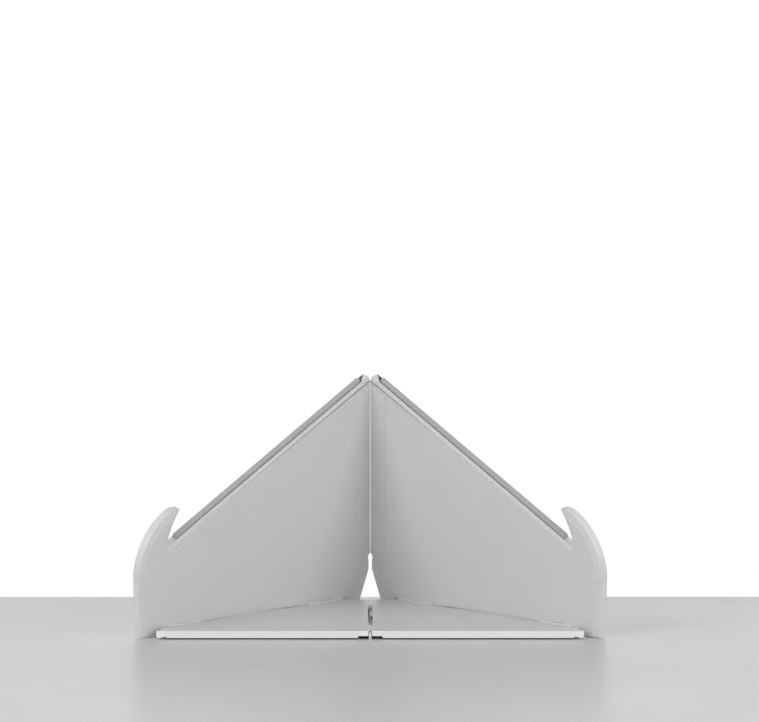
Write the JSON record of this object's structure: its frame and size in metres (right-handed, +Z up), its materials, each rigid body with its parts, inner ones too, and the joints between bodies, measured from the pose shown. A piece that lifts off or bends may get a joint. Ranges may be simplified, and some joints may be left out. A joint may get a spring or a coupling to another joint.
{
  "type": "laptop stand",
  "caption": "Folding laptop riser: two hooked side panels lean in to a spine over a flat base of two leaves, and the whole stand folds flat.",
  "frame": {"origin": "bottom centre of the open stand, on the desk", "axes": "+Z up, front edge and hooks towards -Y, spine and apex towards +Y, +X to the right seen from the front"},
  "size_m": [0.2952, 0.2664, 0.1634],
  "materials": {
    "shell_white": "satin, finely grained moulded plastic",
    "trim_white": "smooth, slightly glossier moulded plastic",
    "hinge_web": "smooth flexible hinge film, flush with the panel",
    "grip_rubber": "matte silicone",
    "foot_rubber": "matte rubber",
    "pin_steel": "drawn steel wire"
  },
  "bodies": {
    "left_side": {"left_panel": "shell_white", "left_spine_web": "hinge_web", "left_grip_strip": "grip_rubber", "left_hand_pad": "trim_white", "left_foot_strip": "foot_rubber", "left_rear_crease_pin": "pin_steel", "left_front_crease_pin": "pin_steel", "left_rear_panel_knuckles": "trim_white", "left_front_panel_knuckles": "trim_white"},
    "left_leaf": {"left_base_leaf": "shell_white", "left_corner_plug": "trim_white", "left_front_lug": "trim_white", "centre_hinge_pin": "pin_steel", "front_centre_knuckle": "trim_white", "front_key": "trim_white", "left_rear_leaf_knuckle": "trim_white", "left_front_leaf_knuckle": "trim_white"},
    "right_leaf": {"right_base_leaf": "shell_white", "right_corner_plug": "trim_white", "right_front_lug": "trim_white", "rear_centre_knuckle": "trim_white", "right_rear_leaf_knuckle": "trim_white", "right_front_leaf_knuckle": "trim_white"},
    "right_side": {"right_panel": "shell_white", "right_spine_web": "hinge_web", "right_grip_strip": "grip_rubber", "right_hand_pad": "trim_white", "right_foot_strip": "foot_rubber", "right_rear_crease_pin": "pin_steel", "right_front_crease_pin": "pin_steel", "right_rear_panel_knuckles": "trim_white", "right_front_panel_knuckles": "trim_white"}
  },
  "joints": [
    {"name": "left_crease", "type": "hinge", "parent": "left_side", "child": "left_leaf", "pos_m": [0.00018, 0.14105, 0.00555], "axis": [-0.4985, -0.8669, 0], "range_deg": [0, 71.8]},
    {"name": "centre_crease", "type": "hinge", "parent": "left_leaf", "child": "right_leaf", "pos_m": [0, 0.00115, 0.00095], "axis": [0, 1, 0], "range_deg": [0, 180]},
    {"name": "right_crease", "type": "hinge", "parent": "right_leaf", "child": "right_side", "pos_m": [-0.00018, 0.14105, 0.00555], "axis": [0.4985, -0.8669, 0], "range_deg": [0, 71.8]}
  ],
  "couplings": [
    {"joint": "centre_crease", "follows": "left_crease", "ratio": 2.5069},
    {"joint": "right_crease", "follows": "left_crease", "ratio": 1}
  ]
}
